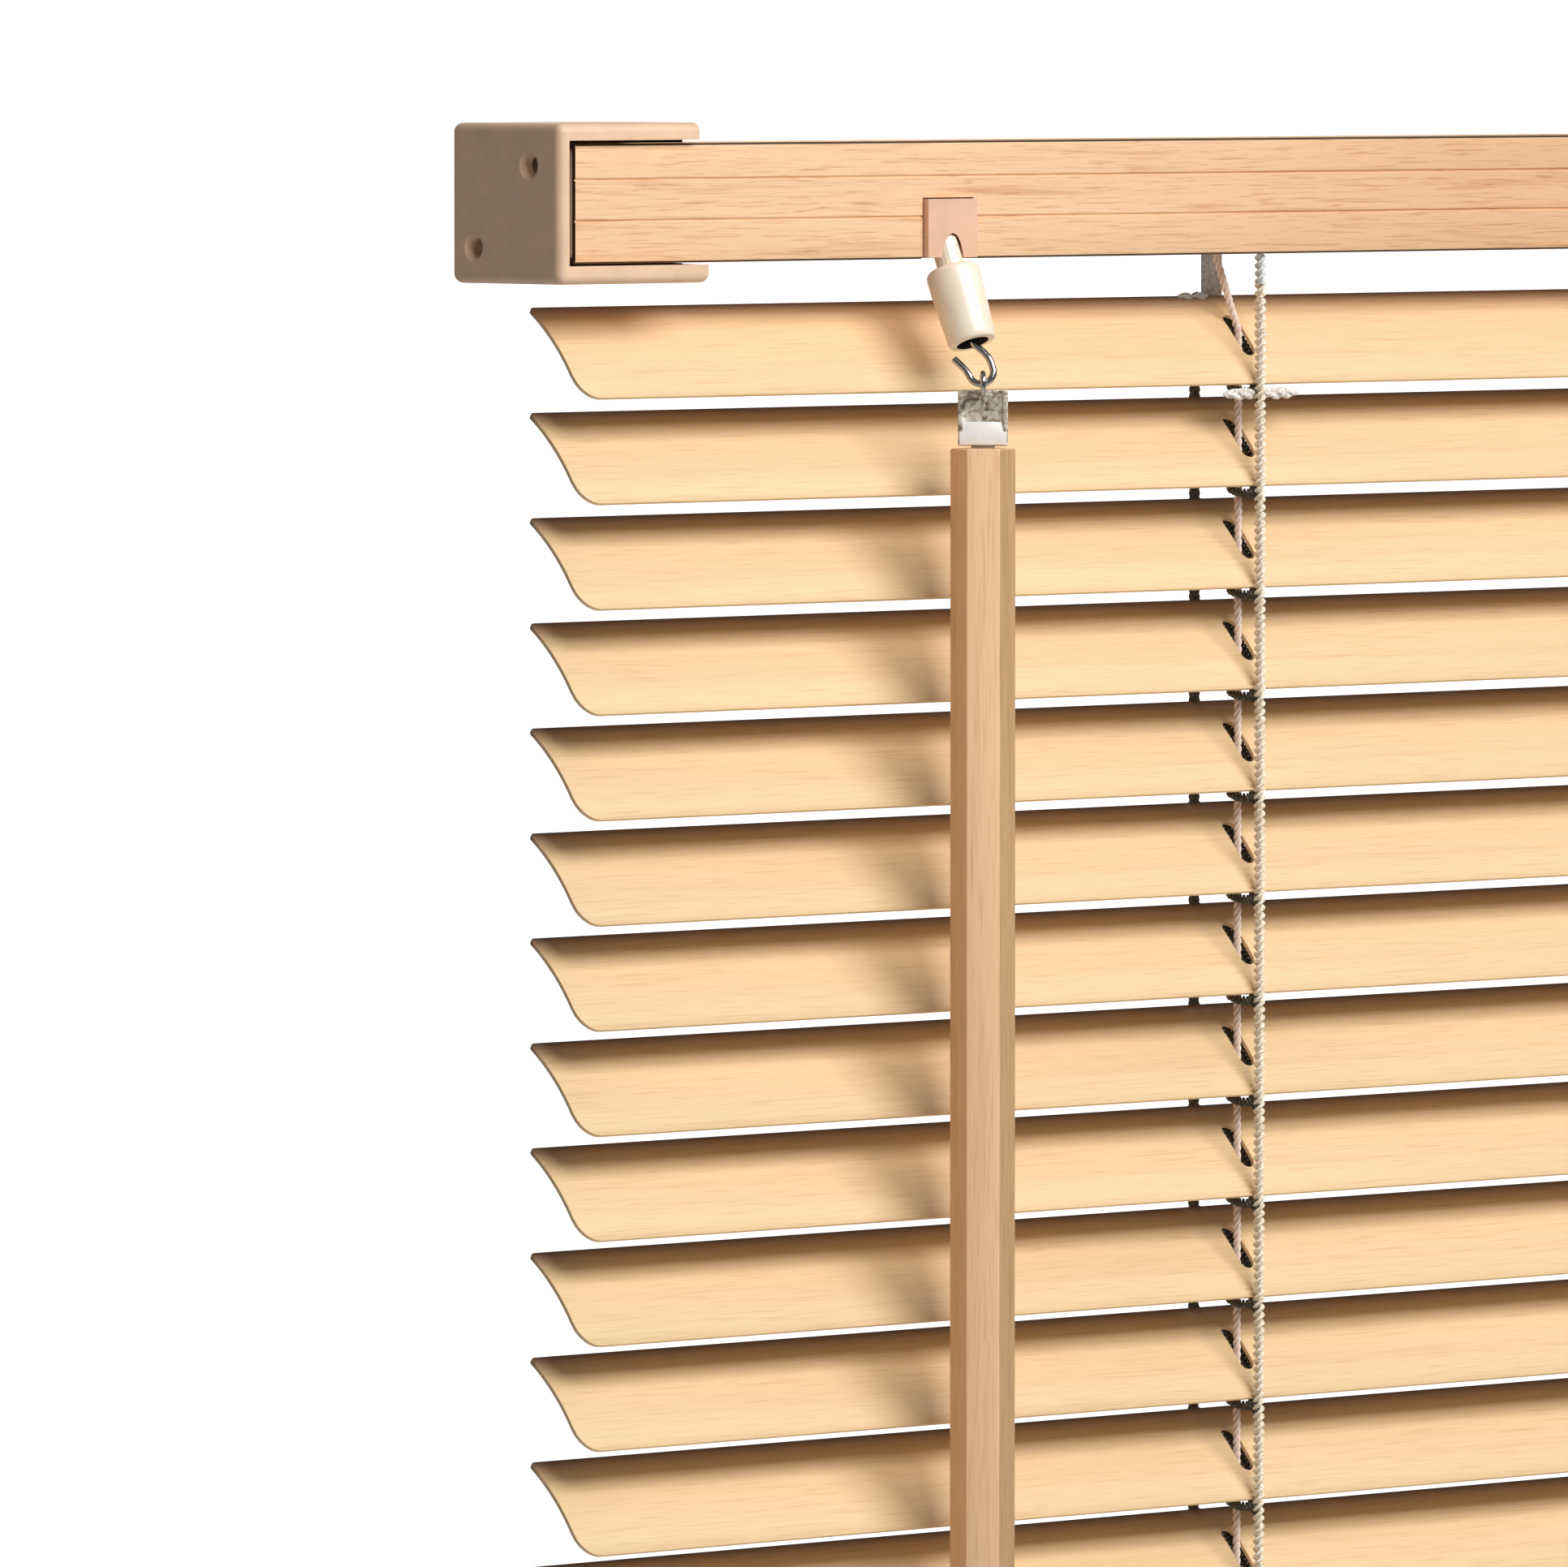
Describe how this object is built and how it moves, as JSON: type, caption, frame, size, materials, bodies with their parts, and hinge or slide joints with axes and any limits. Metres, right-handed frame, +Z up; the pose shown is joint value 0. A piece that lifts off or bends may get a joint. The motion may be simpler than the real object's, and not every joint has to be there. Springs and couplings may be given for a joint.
{
  "type": "venetian blind",
  "caption": "Horizontal slatted blind in a boxed headrail with end brackets, ladder strings, lift cords, wand tilter and bottom rail.",
  "frame": {"origin": "middle of the blind's width on the plane of the brackets' top faces, above the headrail's centre line", "axes": "+X along the blind to the right, -Y to the room, +Z up"},
  "size_m": [0.9216, 0.0506, 0.3908],
  "materials": {
    "wood_foil": "light beech wood-effect foil, satin, fine grain along the length",
    "beech_plastic": "moulded plastic, satin",
    "tan_plastic": "extruded wood-effect plastic, satin",
    "nylon": "natural nylon, matt",
    "steel": "bright zinc",
    "cord": "braided polyester"
  },
  "bodies": {
    "headrail": {"headrail": "wood_foil", "bracket_left": "beech_plastic", "bracket_right": "beech_plastic", "rail_plug_left": "nylon", "rail_plug_right": "nylon", "tilter_housing": "beech_plastic", "cradle_left": "nylon", "cradle_right": "nylon", "cord_lock": "nylon", "lift_cord_left": "cord", "lift_cord_right": "cord", "ladder_right": "cord"},
    "tilt_shaft": {"tilt_rod": "steel", "tilter_gear": "nylon", "drum_left": "nylon", "drum_right": "nylon"},
    "tilter_worm": {"tilter_worm": "beech_plastic", "wand_sleeve": "beech_plastic", "wand_hook": "steel"},
    "wand": {"wand": "tan_plastic", "wand_clip": "steel", "wand_tip": "tan_plastic"},
    "cord_lock_roller": {"cord_lock_roller": "steel"},
    "ladder_01": {"ladder_left_01": "cord"},
    "slat_01": {"slat_01": "wood_foil"},
    "ladder_02": {"ladder_left_02": "cord"},
    "slat_02": {"slat_02": "wood_foil"},
    "ladder_03": {"ladder_left_03": "cord"},
    "slat_03": {"slat_03": "wood_foil"},
    "ladder_04": {"ladder_left_04": "cord"},
    "slat_04": {"slat_04": "wood_foil"},
    "ladder_05": {"ladder_left_05": "cord"},
    "slat_05": {"slat_05": "wood_foil"},
    "ladder_06": {"ladder_left_06": "cord"},
    "slat_06": {"slat_06": "wood_foil"},
    "ladder_07": {"ladder_left_07": "cord"},
    "slat_07": {"slat_07": "wood_foil"},
    "ladder_08": {"ladder_left_08": "cord"},
    "slat_08": {"slat_08": "wood_foil"},
    "ladder_09": {"ladder_left_09": "cord"},
    "slat_09": {"slat_09": "wood_foil"},
    "ladder_10": {"ladder_left_10": "cord"},
    "slat_10": {"slat_10": "wood_foil"},
    "ladder_11": {"ladder_left_11": "cord"},
    "slat_11": {"slat_11": "wood_foil"},
    "ladder_12": {"ladder_left_12": "cord"},
    "slat_12": {"slat_12": "wood_foil"},
    "ladder_13": {"ladder_left_13": "cord"},
    "slat_13": {"slat_13": "wood_foil"},
    "ladder_14": {"ladder_left_14": "cord"},
    "slat_14": {"slat_14": "wood_foil"},
    "ladder_15": {"ladder_left_15": "cord"},
    "slat_15": {"slat_15": "wood_foil"},
    "ladder_foot": {"ladder_left_16": "cord"},
    "bottom_rail": {"bottom_rail": "wood_foil", "bottom_cap_left": "beech_plastic", "bottom_cap_right": "beech_plastic", "cord_button_left": "beech_plastic", "cord_button_right": "beech_plastic"}
  },
  "joints": [
    {"name": "wand_spin", "type": "hinge", "parent": "headrail", "child": "wand", "pos_m": [-0.3497, -0.0234, -0.0545], "axis": [0, 0, 1], "range_deg": [-1980, 270]},
    {"name": "worm_spin", "type": "hinge", "parent": "headrail", "child": "tilter_worm", "pos_m": [-0.3497, -0.0234, -0.0545], "axis": [0, 0.3955, 0.9184], "range_deg": [-1980, 270]},
    {"name": "tilt_rod_turn", "type": "hinge", "parent": "headrail", "child": "tilt_shaft", "pos_m": [0, 0, -0.0168], "axis": [1, 0, 0], "range_deg": [-124, 17]},
    {"name": "lift", "type": "slide", "parent": "headrail", "child": "ladder_foot", "axis": [0, 0, 1], "range_m": [0, 0.25334], "deforming": ["lift_cord_left", "lift_cord_right", "ladder_right", "ladder_left_16"]},
    {"name": "bottom_rail_tilt", "type": "hinge", "parent": "ladder_foot", "child": "bottom_rail", "pos_m": [0, 0, -0.3805], "axis": [1, 0, 0], "range_deg": [-112, 16]},
    {"name": "lock_roller_lift", "type": "slide", "parent": "headrail", "child": "cord_lock_roller", "axis": [0, 0, 1], "range_m": [0, 0.0015]},
    {"name": "slat_01_lift", "type": "slide", "parent": "headrail", "child": "ladder_01", "axis": [0, 0, 1], "range_m": [0, 0.00184], "deforming": ["ladder_left_01"]},
    {"name": "slat_01_tilt", "type": "hinge", "parent": "ladder_01", "child": "slat_01", "pos_m": [0, 0, -0.0485], "axis": [1, 0, 0], "range_deg": [-112, 16]},
    {"name": "slat_02_lift", "type": "slide", "parent": "headrail", "child": "ladder_02", "axis": [0, 0, 1], "range_m": [0, 0.01924], "deforming": ["ladder_left_02"]},
    {"name": "slat_02_tilt", "type": "hinge", "parent": "ladder_02", "child": "slat_02", "pos_m": [0, 0, -0.0705], "axis": [1, 0, 0], "range_deg": [-112, 16]},
    {"name": "slat_03_lift", "type": "slide", "parent": "headrail", "child": "ladder_03", "axis": [0, 0, 1], "range_m": [0, 0.03664], "deforming": ["ladder_left_03"]},
    {"name": "slat_03_tilt", "type": "hinge", "parent": "ladder_03", "child": "slat_03", "pos_m": [0, 0, -0.0925], "axis": [1, 0, 0], "range_deg": [-112, 16]},
    {"name": "slat_04_lift", "type": "slide", "parent": "headrail", "child": "ladder_04", "axis": [0, 0, 1], "range_m": [0, 0.05404], "deforming": ["ladder_left_04"]},
    {"name": "slat_04_tilt", "type": "hinge", "parent": "ladder_04", "child": "slat_04", "pos_m": [0, 0, -0.1145], "axis": [1, 0, 0], "range_deg": [-112, 16]},
    {"name": "slat_05_lift", "type": "slide", "parent": "headrail", "child": "ladder_05", "axis": [0, 0, 1], "range_m": [0, 0.07144], "deforming": ["ladder_left_05"]},
    {"name": "slat_05_tilt", "type": "hinge", "parent": "ladder_05", "child": "slat_05", "pos_m": [0, 0, -0.1365], "axis": [1, 0, 0], "range_deg": [-112, 16]},
    {"name": "slat_06_lift", "type": "slide", "parent": "headrail", "child": "ladder_06", "axis": [0, 0, 1], "range_m": [0, 0.08884], "deforming": ["ladder_left_06"]},
    {"name": "slat_06_tilt", "type": "hinge", "parent": "ladder_06", "child": "slat_06", "pos_m": [0, 0, -0.1585], "axis": [1, 0, 0], "range_deg": [-112, 16]},
    {"name": "slat_07_lift", "type": "slide", "parent": "headrail", "child": "ladder_07", "axis": [0, 0, 1], "range_m": [0, 0.10624], "deforming": ["ladder_left_07"]},
    {"name": "slat_07_tilt", "type": "hinge", "parent": "ladder_07", "child": "slat_07", "pos_m": [0, 0, -0.1805], "axis": [1, 0, 0], "range_deg": [-112, 16]},
    {"name": "slat_08_lift", "type": "slide", "parent": "headrail", "child": "ladder_08", "axis": [0, 0, 1], "range_m": [0, 0.12364], "deforming": ["ladder_left_08"]},
    {"name": "slat_08_tilt", "type": "hinge", "parent": "ladder_08", "child": "slat_08", "pos_m": [0, 0, -0.2025], "axis": [1, 0, 0], "range_deg": [-112, 16]},
    {"name": "slat_09_lift", "type": "slide", "parent": "headrail", "child": "ladder_09", "axis": [0, 0, 1], "range_m": [0, 0.14104], "deforming": ["ladder_left_09"]},
    {"name": "slat_09_tilt", "type": "hinge", "parent": "ladder_09", "child": "slat_09", "pos_m": [0, 0, -0.2245], "axis": [1, 0, 0], "range_deg": [-112, 16]},
    {"name": "slat_10_lift", "type": "slide", "parent": "headrail", "child": "ladder_10", "axis": [0, 0, 1], "range_m": [0, 0.15844], "deforming": ["ladder_left_10"]},
    {"name": "slat_10_tilt", "type": "hinge", "parent": "ladder_10", "child": "slat_10", "pos_m": [0, 0, -0.2465], "axis": [1, 0, 0], "range_deg": [-112, 16]},
    {"name": "slat_11_lift", "type": "slide", "parent": "headrail", "child": "ladder_11", "axis": [0, 0, 1], "range_m": [0, 0.17584], "deforming": ["ladder_left_11"]},
    {"name": "slat_11_tilt", "type": "hinge", "parent": "ladder_11", "child": "slat_11", "pos_m": [0, 0, -0.2685], "axis": [1, 0, 0], "range_deg": [-112, 16]},
    {"name": "slat_12_lift", "type": "slide", "parent": "headrail", "child": "ladder_12", "axis": [0, 0, 1], "range_m": [0, 0.19324], "deforming": ["ladder_left_12"]},
    {"name": "slat_12_tilt", "type": "hinge", "parent": "ladder_12", "child": "slat_12", "pos_m": [0, 0, -0.2905], "axis": [1, 0, 0], "range_deg": [-112, 16]},
    {"name": "slat_13_lift", "type": "slide", "parent": "headrail", "child": "ladder_13", "axis": [0, 0, 1], "range_m": [0, 0.21064], "deforming": ["ladder_left_13"]},
    {"name": "slat_13_tilt", "type": "hinge", "parent": "ladder_13", "child": "slat_13", "pos_m": [0, 0, -0.3125], "axis": [1, 0, 0], "range_deg": [-112, 16]},
    {"name": "slat_14_lift", "type": "slide", "parent": "headrail", "child": "ladder_14", "axis": [0, 0, 1], "range_m": [0, 0.22804], "deforming": ["ladder_left_14"]},
    {"name": "slat_14_tilt", "type": "hinge", "parent": "ladder_14", "child": "slat_14", "pos_m": [0, 0, -0.3345], "axis": [1, 0, 0], "range_deg": [-112, 16]},
    {"name": "slat_15_lift", "type": "slide", "parent": "headrail", "child": "ladder_15", "axis": [0, 0, 1], "range_m": [0, 0.24544], "deforming": ["ladder_left_15"]},
    {"name": "slat_15_tilt", "type": "hinge", "parent": "ladder_15", "child": "slat_15", "pos_m": [0, 0, -0.3565], "axis": [1, 0, 0], "range_deg": [-112, 16]}
  ],
  "couplings": [
    {"joint": "worm_spin", "follows": "wand_spin", "ratio": 1},
    {"joint": "tilt_rod_turn", "follows": "wand_spin", "ratio": 0.0625},
    {"joint": "bottom_rail_tilt", "follows": "wand_spin", "ratio": 0.05625},
    {"joint": "slat_01_lift", "follows": "lift", "ratio": 0.006868},
    {"joint": "slat_01_tilt", "follows": "wand_spin", "ratio": 0.05625},
    {"joint": "slat_02_lift", "follows": "lift", "ratio": 0.075551},
    {"joint": "slat_02_tilt", "follows": "wand_spin", "ratio": 0.05625},
    {"joint": "slat_03_lift", "follows": "lift", "ratio": 0.14423},
    {"joint": "slat_03_tilt", "follows": "wand_spin", "ratio": 0.05625},
    {"joint": "slat_04_lift", "follows": "lift", "ratio": 0.21291},
    {"joint": "slat_04_tilt", "follows": "wand_spin", "ratio": 0.05625},
    {"joint": "slat_05_lift", "follows": "lift", "ratio": 0.2816},
    {"joint": "slat_05_tilt", "follows": "wand_spin", "ratio": 0.05625},
    {"joint": "slat_06_lift", "follows": "lift", "ratio": 0.35028},
    {"joint": "slat_06_tilt", "follows": "wand_spin", "ratio": 0.05625},
    {"joint": "slat_07_lift", "follows": "lift", "ratio": 0.41896},
    {"joint": "slat_07_tilt", "follows": "wand_spin", "ratio": 0.05625},
    {"joint": "slat_08_lift", "follows": "lift", "ratio": 0.48764},
    {"joint": "slat_08_tilt", "follows": "wand_spin", "ratio": 0.05625},
    {"joint": "slat_09_lift", "follows": "lift", "ratio": 0.55633},
    {"joint": "slat_09_tilt", "follows": "wand_spin", "ratio": 0.05625},
    {"joint": "slat_10_lift", "follows": "lift", "ratio": 0.62501},
    {"joint": "slat_10_tilt", "follows": "wand_spin", "ratio": 0.05625},
    {"joint": "slat_11_lift", "follows": "lift", "ratio": 0.69369},
    {"joint": "slat_11_tilt", "follows": "wand_spin", "ratio": 0.05625},
    {"joint": "slat_12_lift", "follows": "lift", "ratio": 0.76238},
    {"joint": "slat_12_tilt", "follows": "wand_spin", "ratio": 0.05625},
    {"joint": "slat_13_lift", "follows": "lift", "ratio": 0.83106},
    {"joint": "slat_13_tilt", "follows": "wand_spin", "ratio": 0.05625},
    {"joint": "slat_14_lift", "follows": "lift", "ratio": 0.89974},
    {"joint": "slat_14_tilt", "follows": "wand_spin", "ratio": 0.05625},
    {"joint": "slat_15_lift", "follows": "lift", "ratio": 0.96842},
    {"joint": "slat_15_tilt", "follows": "wand_spin", "ratio": 0.05625}
  ]
}
